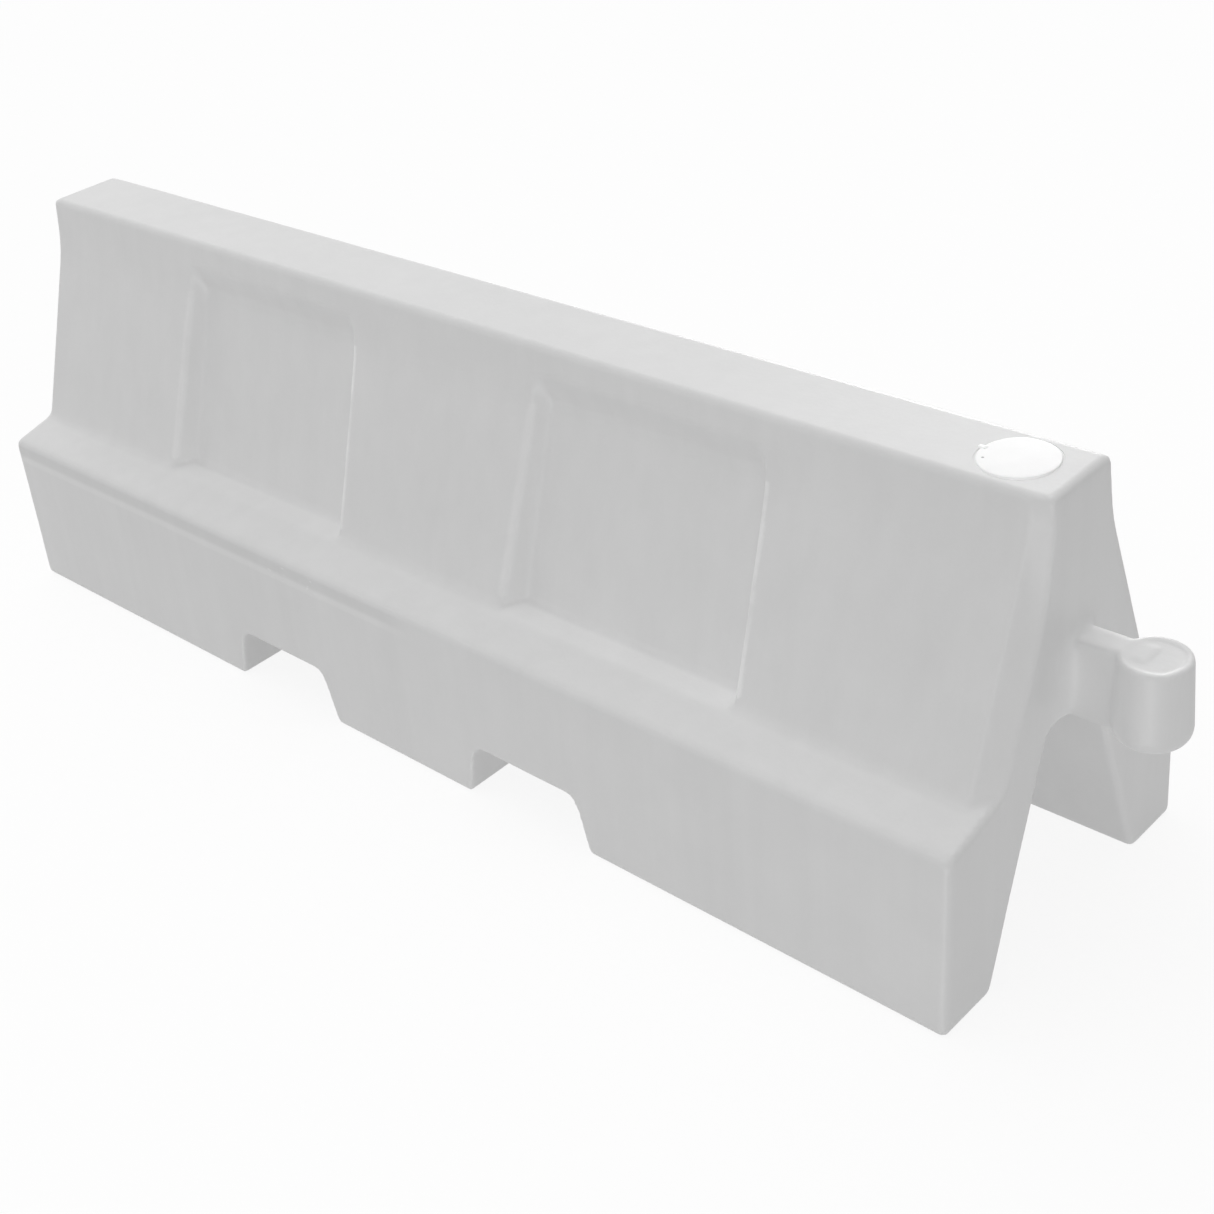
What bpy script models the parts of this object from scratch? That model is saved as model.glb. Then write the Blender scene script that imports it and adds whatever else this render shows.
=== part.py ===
"""Water filled road barrier: a hollow moulded tank with a knuckle at one end and a socket at the other.

Metres, +Z up. X runs along the barrier with the knuckle at +X, and the origin is on the ground below
the middle of the overall length.
"""

import math

import bmesh
import bpy
from mathutils import Matrix, Vector

# Body: the moulded section, from the ground up. Widths are measured across, between sharp corners.
BODY_LENGTH = 1.855
BODY_HEIGHT = 0.612
WALL = 0.006
BASE_WIDTH = 0.510
LEDGE_WIDTH = 0.490
LEDGE_EDGE_HEIGHT = 0.2525
PANEL_FOOT_WIDTH = 0.342
PANEL_FOOT_HEIGHT = 0.2715
BEAM_FOOT_WIDTH = 0.142
BEAM_DEPTH = 0.0755
TOP_WIDTH = 0.120

# Tunnel between the legs.
TUNNEL_FOOT_WIDTH = 0.320
TUNNEL_ROOF_WIDTH = 0.100
TUNNEL_HEIGHT = 0.311

# Rounding of the section, as the setback of each fillet from its sharp corner.
TUNNEL_SETBACK = 0.010
FOOT_SETBACK = 0.008
LEDGE_SETBACK = 0.009
PANEL_FOOT_SETBACK = 0.008
BEAM_FOOT_SETBACK = 0.030
TOP_SETBACK = 0.007
LEAST_SETBACK = 0.001

# The two ends: rounded edges, a flat bevel down one corner of each end, front at the knuckle and back at
# the socket, and the lean of the knuckle end. The bevel has a run along the body and an inset across it.
END_EDGE = 0.008
BEVEL_RUN = 0.026
BEVEL_INSET = 0.030
END_STATIONS = (0.0, 0.05, 0.17, 0.34, 0.67, 1.0)
KNUCKLE_END_LEAN = 0.006

# Recessed bays, two on each side, either side of a flush middle panel.
MIDDLE_PANEL_LENGTH = 0.337
RECESS_LENGTH = 0.402
RECESS_LEAN = 0.009
RECESS_FOOT_DEPTH = 0.035
RECESS_HEAD_DEPTH = 0.024
RECESS_HEAD_DROP = 0.0825
RECESS_RIM_DROP = 0.037
RECESS_SILL = 0.012
RECESS_HEAD_SETBACK = 0.012
RECESS_RIM_SETBACK = 0.006
RECESS_SILL_SETBACK = 0.003
RECESS_WALL_RUN = 0.015
RECESS_ROUNDING = 0.008

# Fork slots through both legs.
SLOT_SPACING = 0.514
SLOT_FOOT_WIDTH = 0.229
SLOT_ROOF_WIDTH = 0.191
SLOT_HEIGHT = 0.085
SLOT_ROOF_SETBACK = 0.020
SLOT_FOOT_SETBACK = 0.009

# Knuckle and its neck, at the +X end.
KNUCKLE_REACH = 0.0993
KNUCKLE_TOP_RADIUS = 0.0405
KNUCKLE_FOOT_RADIUS = 0.0445
KNUCKLE_FOOT_HEIGHT = 0.316
KNUCKLE_HEIGHT = 0.1075
KNUCKLE_FOOT_SETBACK = 0.019
KNUCKLE_TOP_SETBACK = 0.004
KNUCKLE_DISH_DEPTH = 0.0025
KNUCKLE_RIM = 0.008
NECK_WIDTH = 0.041
NECK_DROP = 0.001
NECK_FOOT_RISE = 0.0035
NECK_EDGE = 0.005

# Socket at the -X end, sized to drop over a neighbour's knuckle.
SOCKET_CLEARANCE = 0.006
SOCKET_HEADROOM = 0.012
COUPLED_GAP = 0.015

# Filler: a seat and a hole in the top, a seal in the seat, and a cap pressed in.
FILLER_FROM_END = 0.0725
SEAT_RADIUS = 0.0485
SEAT_DEPTH = 0.008
FILLER_HOLE_RADIUS = 0.0378
SEAL_THICKNESS = 0.003
CAP_RING_GAP = 0.003
CAP_RIM_THICKNESS = 0.0074
CAP_CROWN_THICKNESS = 0.0024
CAP_SKIRT_WALL = 0.0035
CAP_SKIRT_LENGTH = 0.030
CAP_SKIRT_CLEARANCE = 0.0006
CAP_EDGE = 0.002
CAP_TAB_WIDTH = 0.007
CAP_TAB_REACH = 0.0046
CAP_TAB_LIFT = 0.0006

# Drains: a pocket at the foot of each leg in the -X end, with a bush, a seal and a screw plug.
DRAIN_HEIGHT = 0.058
DRAIN_POCKET_RADIUS = 0.034
DRAIN_POCKET_DEPTH = 0.024
BUSH_RADIUS = 0.0245
BUSH_BORE_RADIUS = 0.0186
BUSH_LENGTH = 0.020
BUSH_FLANGE_RADIUS = 0.030
BUSH_FLANGE_THICKNESS = 0.004
PLUG_HEAD_RADIUS = 0.026
PLUG_HEAD_THICKNESS = 0.007
PLUG_SHANK_LENGTH = 0.018
PLUG_SHANK_WALL = 0.005
PLUG_BAR_LENGTH = 0.044
PLUG_BAR_WIDTH = 0.010
PLUG_BAR_HEIGHT = 0.011
PLUG_EDGE = 0.0015
DRAIN_SEAL_THICKNESS = 0.003
SCREW_CLEARANCE = 0.0004

# Gap left between two pieces that rest on each other.
SEATING_GAP = 0.0003

# Facets: round things, fillets, and the nine corners of half a section on the skin and in the hollow.
ROUND_STEPS = 32
DRAIN_STEPS = 24
ARC_STEPS = 3
SKIN_STEPS = (4, 2, 2, 3, 1, 2, 3, 2, 3)
HOLLOW_STEPS = (3, 1, 1, 1, 1, 1, 2, 1, 1)

OVERALL_LENGTH = BODY_LENGTH + KNUCKLE_REACH + KNUCKLE_FOOT_RADIUS
LEFT_END = -OVERALL_LENGTH / 2
RIGHT_END = LEFT_END + BODY_LENGTH
BODY_MIDDLE = (LEFT_END + RIGHT_END) / 2
KNUCKLE_X = RIGHT_END + KNUCKLE_REACH
KNUCKLE_TOP = KNUCKLE_FOOT_HEIGHT + KNUCKLE_HEIGHT
SOCKET_X = LEFT_END + KNUCKLE_REACH - COUPLED_GAP
SOCKET_TOP = KNUCKLE_TOP + SOCKET_HEADROOM
FILLER_X = RIGHT_END - FILLER_FROM_END
PIERCE = 0.02  # how far a cutter runs past the surface it cuts


def collection(name):
    group = bpy.data.collections.new(name)
    bpy.context.scene.collection.children.link(group)
    return group


def start_scene():
    for thing in list(bpy.data.objects):
        bpy.data.objects.remove(thing, do_unlink=True)
    return collection("water_filled_barrier"), collection("cutters")


def finish(name, colour, roughness, metallic=0.0):
    material = bpy.data.materials.new(name)
    material.use_nodes = True
    shader = material.node_tree.nodes["Principled BSDF"]
    shader.inputs["Base Color"].default_value = (*colour, 1.0)
    shader.inputs["Roughness"].default_value = roughness
    shader.inputs["Metallic"].default_value = metallic
    return material


def add_object(name, mesh, group, material=None):
    thing = bpy.data.objects.new(name, mesh)
    group.objects.link(thing)
    if material:
        mesh.materials.append(material)
    else:
        thing.hide_render = True
        thing.display_type = "WIRE"
    return thing


def evaluated_mesh(thing):
    bpy.context.view_layer.update()
    graph = bpy.context.evaluated_depsgraph_get()
    return bpy.data.meshes.new_from_object(thing.evaluated_get(graph))


def boolean(thing, other, operation):
    modifier = thing.modifiers.new(f"{operation.lower()}_{other.name}", "BOOLEAN")
    modifier.operation = operation
    modifier.object = other


def shade_round(mesh, angle=35.0):
    mesh.shade_smooth()
    mesh.set_sharp_from_angle(angle=math.radians(angle))


def mixed(a, b, share):
    return a + (b - a) * share


# Closed outlines, walked clockwise so that the inside lies to the right.


def inward(a, b):
    step = (b - a).normalized()
    return Vector((step.y, -step.x))


def moved_corners(corners, drops):
    """Corners of the outline after each edge moves inwards by its own distance."""
    count = len(corners)
    moved = []
    for i, corner in enumerate(corners):
        before, after = corners[i - 1], corners[(i + 1) % count]
        side_in, side_out = inward(before, corner), inward(corner, after)
        drop_in, drop_out = drops[i - 1], drops[i]
        spread = side_in.x * side_out.y - side_in.y * side_out.x
        if abs(spread) < 1e-4:
            moved.append(corner + side_in * drop_in)
            continue
        away = Vector((
            (drop_in * side_out.y - drop_out * side_in.y) / spread,
            (drop_out * side_in.x - drop_in * side_out.x) / spread,
        ))
        moved.append(corner + away)
    return moved


def turn_at(before, corner, after):
    """Angle turned at a corner, positive where the outline is convex."""
    a, b = corner - before, after - corner
    return -math.atan2(a.x * b.y - a.y * b.x, a.dot(b))


def filleted(before, corner, after, setback, steps):
    """Points of a circular fillet that leaves its edges at the setback from the corner."""
    start = corner + (before - corner).normalized() * setback
    end = corner + (after - corner).normalized() * setback
    weight = math.cos(turn_at(before, corner, after) / 2)
    points = []
    for i in range(steps + 1):
        t = i / steps
        ends, middle = (1 - t) ** 2, 2 * t * (1 - t) * weight
        total = ends + middle + t * t
        points.append((start * ends + corner * middle + end * t * t) / total)
    return points


def rounded_outline(corners, setbacks, steps):
    points = []
    for i, corner in enumerate(corners):
        after = corners[(i + 1) % len(corners)]
        points += filleted(corners[i - 1], corner, after, setbacks[i], steps[i])
    return points


# The moulded body form.

# Share of an end's bevel that the panel and the lower and upper beam side carry.
BEVEL_SHARES = {5: 1.0, 6: 0.5, 7: 0.1}


def panel_half_width(height):
    beam_foot_height = BODY_HEIGHT - BEAM_DEPTH
    share = (height - PANEL_FOOT_HEIGHT) / (beam_foot_height - PANEL_FOOT_HEIGHT)
    return mixed(PANEL_FOOT_WIDTH, BEAM_FOOT_WIDTH, share) / 2


def half_section(recessed):
    """Corners of the front half, from the tunnel roof round to the top edge, and their setbacks."""
    ledge_slope = (PANEL_FOOT_HEIGHT - LEDGE_EDGE_HEIGHT) / (LEDGE_WIDTH - PANEL_FOOT_WIDTH) * 2
    sill_height = PANEL_FOOT_HEIGHT - RECESS_SILL * ledge_slope
    rim_share = RECESS_RIM_DROP / BEAM_DEPTH
    rim_half_width = mixed(TOP_WIDTH, BEAM_FOOT_WIDTH, rim_share) / 2
    head_height = BODY_HEIGHT - RECESS_HEAD_DROP
    flush_foot = (PANEL_FOOT_WIDTH / 2, PANEL_FOOT_HEIGHT)
    flush_head = (BEAM_FOOT_WIDTH / 2, BODY_HEIGHT - BEAM_DEPTH)
    recess_foot = (PANEL_FOOT_WIDTH / 2 - RECESS_FOOT_DEPTH, sill_height)
    recess_head = (panel_half_width(head_height) - RECESS_HEAD_DEPTH, head_height)
    places = [
        (TUNNEL_ROOF_WIDTH / 2, TUNNEL_HEIGHT),
        (TUNNEL_FOOT_WIDTH / 2, 0.0),
        (BASE_WIDTH / 2, 0.0),
        (LEDGE_WIDTH / 2, LEDGE_EDGE_HEIGHT),
        (PANEL_FOOT_WIDTH / 2 + RECESS_SILL, sill_height),
        [mixed(a, b, recessed) for a, b in zip(flush_foot, recess_foot)],
        [mixed(a, b, recessed) for a, b in zip(flush_head, recess_head)],
        (rim_half_width, BODY_HEIGHT - RECESS_RIM_DROP),
        (TOP_WIDTH / 2, BODY_HEIGHT),
    ]
    setbacks = [
        TUNNEL_SETBACK,
        FOOT_SETBACK,
        FOOT_SETBACK,
        LEDGE_SETBACK,
        RECESS_SILL_SETBACK,
        mixed(PANEL_FOOT_SETBACK, RECESS_SILL_SETBACK, recessed),
        mixed(BEAM_FOOT_SETBACK, RECESS_HEAD_SETBACK, recessed),
        RECESS_RIM_SETBACK,
        TOP_SETBACK,
    ]
    return [Vector((-y, z)) for y, z in places], setbacks


def side_drops(edges, edge_drop, bevel_drop):
    drops = [edge_drop] * edges
    for edge, share in BEVEL_SHARES.items():
        drops[edge] = max(bevel_drop * share, edge_drop)
    return drops


def section(recessed, inset, edge_drop=0.0, front_bevel=0.0, back_bevel=0.0):
    """One closed section of the body, moved in by the inset and by the shape of the ends."""
    half, half_setbacks = half_section(recessed)
    corners = half + [Vector((-p.x, p.y)) for p in reversed(half)]
    setbacks = half_setbacks + half_setbacks[::-1]
    half_steps = HOLLOW_STEPS if inset else SKIN_STEPS
    steps = half_steps + half_steps[::-1]
    front = side_drops(len(half) - 1, edge_drop, front_bevel)
    back = side_drops(len(half) - 1, edge_drop, back_bevel)[::-1]
    drops = [inset + d for d in front + [edge_drop] + back + [edge_drop]]
    eased = []
    for i, setback in enumerate(setbacks):
        turn = turn_at(corners[i - 1], corners[i], corners[(i + 1) % len(corners)])
        drop = (drops[i - 1] + drops[i]) / 2
        eased.append(max(setback - drop * math.tan(turn / 2), LEAST_SETBACK))
    return rounded_outline(moved_corners(corners, drops), eased, steps)


def rounding_drop(distance, radius):
    """How far a rounded edge draws the section in, at a distance from the end face."""
    if distance >= radius:
        return 0.0
    return radius - math.sqrt(radius ** 2 - (radius - distance) ** 2)


def recess_walls(inset):
    """Pairs of (place along X, share recessed, lean of the bay's edge) for all bay walls."""
    steps = (
        (-RECESS_ROUNDING, 0.0),
        (0.0, 0.06),
        (0.27 * RECESS_WALL_RUN, 0.30),
        (0.67 * RECESS_WALL_RUN, 0.72),
        (RECESS_WALL_RUN, 0.95),
        (RECESS_WALL_RUN + RECESS_ROUNDING, 1.0),
    )
    if inset:
        steps = [steps[i] for i in (0, 2, 3, 5)]  # the hollow needs fewer facets
    inner = MIDDLE_PANEL_LENGTH / 2
    outer = inner + RECESS_LENGTH
    walls = []
    for start, end in ((-outer, -inner), (inner, outer)):
        for along, share in steps:
            walls.append((BODY_MIDDLE + start - inset + along, share, RECESS_LEAN))
        for along, share in reversed(steps):
            walls.append((BODY_MIDDLE + end + inset - along, share, -RECESS_LEAN))
    return walls


def lean_share(height, low, high):
    return min(max((height - low) / (high - low), 0.0), 1.0)


def station(place, outline, lean=0.0, low=0.0, high=BODY_HEIGHT):
    """Points of a section at a place along X, where the lean grows between two heights."""
    return [Vector((place + lean * lean_share(p.y, low, high), p.x, p.y)) for p in outline]


def body_stations(inset):
    """Sections along X, from the socket end to the knuckle end."""
    run, depth = BEVEL_RUN - inset / 2, BEVEL_INSET - inset / 2
    edge = max(END_EDGE - inset, LEAST_SETBACK)
    socket_end, knuckle_end = [], []
    for share in END_STATIONS:
        along, bevel = share * run, (1 - share) * depth
        drop = rounding_drop(along, edge)
        socket_end.append(station(LEFT_END + inset + along, section(0.0, inset, drop, back_bevel=bevel)))
        knuckle_section = section(0.0, inset, drop, front_bevel=bevel)
        knuckle_end.append(station(RIGHT_END - inset - along, knuckle_section, KNUCKLE_END_LEAN))
    bays = []
    for place, recessed, lean in recess_walls(inset):
        head = BODY_HEIGHT - RECESS_HEAD_DROP
        bays.append(station(place, section(recessed, inset), lean, PANEL_FOOT_HEIGHT, head))
    return socket_end + bays + knuckle_end[::-1]


def body_form(name, inset):
    """Loft through the stations, closed by the two end faces."""
    form = bmesh.new()
    rings = [[form.verts.new(point) for point in points] for points in body_stations(inset)]
    for near, far in zip(rings, rings[1:]):
        for i in range(len(near)):
            j = (i + 1) % len(near)
            form.faces.new((near[i], near[j], far[j], far[i]))
    form.faces.new(rings[0][::-1])
    form.faces.new(rings[-1])
    bmesh.ops.recalc_face_normals(form, faces=form.faces)
    bmesh.ops.triangulate(form, faces=form.faces)
    mesh = bpy.data.meshes.new(name)
    form.to_mesh(mesh)
    form.free()
    return mesh


# Simple solids.


def extruded(name, outline, thickness, place):
    """A flat outline in X and Y, given a thickness along Z about its middle, then placed."""
    curve = bpy.data.curves.new(name, "CURVE")
    curve.dimensions = "2D"
    curve.fill_mode = "BOTH"
    curve.extrude = thickness / 2
    spline = curve.splines.new("POLY")
    spline.points.add(len(outline) - 1)
    for point, (x, y) in zip(spline.points, outline):
        point.co = (x, y, 0.0, 1.0)
    spline.use_cyclic_u = True
    drawn = bpy.data.objects.new(name, curve)
    bpy.context.scene.collection.objects.link(drawn)
    mesh = evaluated_mesh(drawn)
    bpy.data.objects.remove(drawn, do_unlink=True)
    solid = bmesh.new()
    solid.from_mesh(mesh)
    bmesh.ops.remove_doubles(solid, verts=solid.verts, dist=1e-6)
    bmesh.ops.recalc_face_normals(solid, faces=solid.faces)
    bmesh.ops.transform(solid, matrix=place, verts=solid.verts)
    solid.to_mesh(mesh)
    solid.free()
    return mesh


def turned(name, profile, place, steps=ROUND_STEPS):
    """A profile of (radius, height) points, running down its outer side, turned about Z and placed."""
    line = bpy.data.meshes.new(name)
    line.from_pydata([(r, 0.0, z) for r, z in profile], [(i, i + 1) for i in range(len(profile) - 1)], [])
    if profile[0][0] > 0:
        line.edges.add(1)
        line.edges[-1].vertices = (len(profile) - 1, 0)
    drawn = bpy.data.objects.new(name, line)
    bpy.context.scene.collection.objects.link(drawn)
    screw = drawn.modifiers.new("turn", "SCREW")
    screw.steps = screw.render_steps = steps
    screw.use_merge_vertices = True
    screw.merge_threshold = 1e-6
    mesh = evaluated_mesh(drawn)
    bpy.data.objects.remove(drawn, do_unlink=True)
    mesh.transform(place)
    shade_round(mesh)
    return mesh


def rounded_box(name, low, high, edge):
    size = Vector(high) - Vector(low)
    middle = (Vector(high) + Vector(low)) / 2
    box = bmesh.new()
    bmesh.ops.create_cube(box, size=1.0)
    bmesh.ops.transform(box, matrix=Matrix.Diagonal((*size, 1.0)), verts=box.verts)
    if edge:
        bmesh.ops.bevel(box, geom=box.edges, offset=edge, segments=2, profile=0.5, affect="EDGES")
    bmesh.ops.translate(box, vec=middle, verts=box.verts)
    mesh = bpy.data.meshes.new(name)
    box.to_mesh(mesh)
    box.free()
    return mesh


def at(x, y, z):
    return Matrix.Translation((x, y, z))


def arc(centre, radius, start, end, steps=ARC_STEPS):
    """Points on an arc, between two angles in degrees."""
    points = []
    for i in range(steps + 1):
        angle = math.radians(mixed(start, end, i / steps))
        points.append((centre[0] + radius * math.cos(angle), centre[1] + radius * math.sin(angle)))
    return points


# Features cut into the body or standing out from it. Each takes a growth, so that the hollow inside
# follows the outer skin at the wall thickness.


def fork_slot(name, middle, growth):
    """Slot through both legs: drafted sides, rounded roof corners and rounded feet."""
    draft = (SLOT_FOOT_WIDTH - SLOT_ROOF_WIDTH) / 2 / SLOT_HEIGHT
    roof = SLOT_HEIGHT + growth
    half_roof = SLOT_FOOT_WIDTH / 2 + growth - draft * roof
    half_foot = SLOT_FOOT_WIDTH / 2 + growth
    turn = SLOT_FOOT_SETBACK / 2
    half = [
        Vector((-half_foot - PIERCE, turn - PIERCE)),
        Vector((-half_foot + draft * turn, turn)),
        Vector((-half_roof, roof)),
    ]
    corners = half + [Vector((-p.x, p.y)) for p in reversed(half)]
    setbacks = [LEAST_SETBACK, SLOT_FOOT_SETBACK / 2, SLOT_ROOF_SETBACK]
    steps = [1, 2, ARC_STEPS]
    outline = rounded_outline(corners, setbacks + setbacks[::-1], steps + steps[::-1])
    upright = Matrix.Rotation(math.radians(90), 4, "X")
    return extruded(name, outline, BASE_WIDTH + 2 * PIERCE, at(middle, 0, 0) @ upright)


def knuckle(name, growth):
    top, foot = KNUCKLE_TOP + growth, KNUCKLE_FOOT_HEIGHT - growth
    r_top, r_foot = KNUCKLE_TOP_RADIUS + growth, KNUCKLE_FOOT_RADIUS + growth
    round_foot = KNUCKLE_FOOT_SETBACK + growth
    round_top = max(KNUCKLE_TOP_SETBACK + growth, LEAST_SETBACK)
    dish = r_top - KNUCKLE_RIM
    profile = [(0.0, top - KNUCKLE_DISH_DEPTH), (dish, top - KNUCKLE_DISH_DEPTH)]
    profile += [(dish + KNUCKLE_DISH_DEPTH, top)]
    profile += arc((r_top - round_top, top - round_top), round_top, 90, 0)
    profile += arc((r_foot - round_foot, foot + round_foot), round_foot, 0, -90, 5)
    profile += [(0.0, foot)]
    return turned(name, profile, at(KNUCKLE_X, 0, 0))


def neck(name, growth):
    half = NECK_WIDTH / 2 + growth
    low = (RIGHT_END - PIERCE, -half, KNUCKLE_FOOT_HEIGHT + NECK_FOOT_RISE - growth)
    high = (KNUCKLE_X, half, KNUCKLE_TOP - NECK_DROP + growth)
    return rounded_box(name, low, high, max(NECK_EDGE + growth, 0.0))


def socket_pocket(name, growth):
    """Tapered well for a neighbour's knuckle, open below into the tunnel."""
    taper = (KNUCKLE_FOOT_RADIUS - KNUCKLE_TOP_RADIUS) / KNUCKLE_HEIGHT
    foot = TUNNEL_HEIGHT - TUNNEL_SETBACK - PIERCE
    top = SOCKET_TOP + growth
    r_foot = KNUCKLE_FOOT_RADIUS + SOCKET_CLEARANCE + growth
    r_top = r_foot - taper * (top - KNUCKLE_FOOT_HEIGHT)
    ease = KNUCKLE_TOP_SETBACK + growth
    profile = [(0.0, top)] + arc((r_top - ease, top - ease), ease, 90, 0) + [(r_foot, foot), (0.0, foot)]
    return turned(name, profile, at(SOCKET_X, 0, 0))


def socket_slot(name, growth):
    half = NECK_WIDTH / 2 + SOCKET_CLEARANCE + growth
    foot = TUNNEL_HEIGHT - TUNNEL_SETBACK - PIERCE
    low = (LEFT_END - PIERCE, -half, foot)
    high = (SOCKET_X, half, SOCKET_TOP + growth)
    return rounded_box(name, low, high, 0.0)


def drain_line(side):
    """Matrix that turns +Z into the outward direction of a drain, at the end face."""
    inner = mixed(TUNNEL_FOOT_WIDTH, TUNNEL_ROOF_WIDTH, DRAIN_HEIGHT / TUNNEL_HEIGHT) / 2
    outer = mixed(BASE_WIDTH, LEDGE_WIDTH, DRAIN_HEIGHT / LEDGE_EDGE_HEIGHT) / 2
    outward = Matrix.Rotation(math.radians(-90), 4, "Y")
    return at(LEFT_END, side * (inner + outer) / 2, DRAIN_HEIGHT) @ outward


def cylinder(name, radius, low, high, place):
    solid = bmesh.new()
    middle = Matrix.Translation((0.0, 0.0, (low + high) / 2))
    bmesh.ops.create_cone(
        solid,
        cap_ends=True,
        cap_tris=False,
        segments=ROUND_STEPS,
        radius1=radius,
        radius2=radius,
        depth=high - low,
        matrix=place @ middle,
    )
    mesh = bpy.data.meshes.new(name)
    solid.to_mesh(mesh)
    solid.free()
    return mesh


SIDES = (("front", -1), ("back", 1))


def cut_out_hollow(hollow, group):
    """Shape the hollow so that a wall is left round every feature of the skin."""
    above = at(FILLER_X, 0, BODY_HEIGHT)
    boss = cylinder("seat_boss", SEAT_RADIUS + WALL, -SEAT_DEPTH - WALL, PIERCE, above)
    fillings = [boss, socket_pocket("socket_pocket_wall", WALL), socket_slot("socket_slot_wall", WALL)]
    for i, side in enumerate((-1, 1)):
        fillings.append(fork_slot(f"slot_wall_{i + 1}", BODY_MIDDLE + side * SLOT_SPACING / 2, WALL))
    for name, side in SIDES:
        radius, depth = DRAIN_POCKET_RADIUS + WALL, -DRAIN_POCKET_DEPTH - WALL
        fillings.append(cylinder(f"drain_boss_{name}", radius, depth, PIERCE, drain_line(side)))
    for filling in fillings:
        boolean(hollow, add_object(filling.name, filling, group), "DIFFERENCE")
    for core in (neck("neck_core", -WALL), knuckle("knuckle_core", -WALL)):
        boolean(hollow, add_object(core.name, core, group), "UNION")


def body_shell(parts, cutters, material):
    skin = add_object("body_shell", body_form("body_shell", 0.0), parts, material)
    hollow = add_object("hollow", body_form("hollow", WALL), cutters)
    cut_out_hollow(hollow, cutters)
    for core in (neck("neck", 0.0), knuckle("knuckle", 0.0)):
        boolean(skin, add_object(core.name, core, cutters), "UNION")
    above = at(FILLER_X, 0, BODY_HEIGHT)
    cuts = [socket_pocket("socket_pocket", 0.0), socket_slot("socket_slot", 0.0)]
    for i, side in enumerate((-1, 1)):
        cuts.append(fork_slot(f"slot_{i + 1}", BODY_MIDDLE + side * SLOT_SPACING / 2, 0.0))
    cuts.append(cylinder("filler_seat", SEAT_RADIUS, -SEAT_DEPTH, PIERCE, above))
    for name, side in SIDES:
        place = drain_line(side)
        cuts.append(cylinder(f"drain_pocket_{name}", DRAIN_POCKET_RADIUS, -DRAIN_POCKET_DEPTH, PIERCE, place))
    for cut in cuts:
        boolean(skin, add_object(cut.name, cut, cutters), "DIFFERENCE")
    boolean(skin, hollow, "DIFFERENCE")
    through = SEAT_DEPTH + WALL + PIERCE
    openings = [cylinder("filler_hole", FILLER_HOLE_RADIUS, -through, PIERCE, above)]
    for name, side in SIDES:
        low = -DRAIN_POCKET_DEPTH - WALL - PIERCE
        radius = BUSH_RADIUS + SEATING_GAP
        openings.append(cylinder(f"drain_hole_{name}", radius, low, 0.0, drain_line(side)))
    for opening in openings:
        boolean(skin, add_object(opening.name, opening, cutters), "DIFFERENCE")


def filler_pieces(parts, cutters, cap_material, seal_material):
    above = at(FILLER_X, 0, BODY_HEIGHT)
    seal_low = -SEAT_DEPTH + SEATING_GAP
    seal_high = seal_low + SEAL_THICKNESS
    outer, inner = SEAT_RADIUS - SEATING_GAP, FILLER_HOLE_RADIUS
    ring = [(inner, seal_high), (outer, seal_high), (outer, seal_low), (inner, seal_low)]
    add_object("filler_seal", turned("filler_seal", ring, above), parts, seal_material)

    rim_low = seal_high + SEATING_GAP
    top = rim_low + CAP_RIM_THICKNESS
    rim = SEAT_RADIUS - CAP_RING_GAP
    skirt = FILLER_HOLE_RADIUS - CAP_SKIRT_CLEARANCE
    skirt_low = rim_low - CAP_SKIRT_LENGTH
    crown = top - CAP_CROWN_THICKNESS
    hollow = skirt - CAP_SKIRT_WALL
    profile = [(0.0, top)] + arc((rim - CAP_EDGE, top - CAP_EDGE), CAP_EDGE, 90, 0)
    profile += [(rim, rim_low), (skirt, rim_low), (skirt, skirt_low + CAP_EDGE)]
    profile += [(skirt - CAP_EDGE, skirt_low), (hollow, skirt_low), (hollow, crown), (0.0, crown)]
    cap = add_object("filler_cap", turned("filler_cap", profile, above), parts, cap_material)
    tab_low = CAP_TAB_LIFT
    half = CAP_TAB_WIDTH / 2
    straight = rim + CAP_TAB_REACH - half
    outline = [(-rim + CAP_RING_GAP, -half)] + arc((-straight, 0.0), half, 270, 90, 8)
    outline += [(-rim + CAP_RING_GAP, half)]
    lifted = at(FILLER_X, 0, BODY_HEIGHT + (tab_low + top) / 2)
    tab = extruded("cap_tab", outline, top - tab_low - SEATING_GAP, lifted)
    boolean(cap, add_object("cap_tab", tab, cutters), "UNION")


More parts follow.
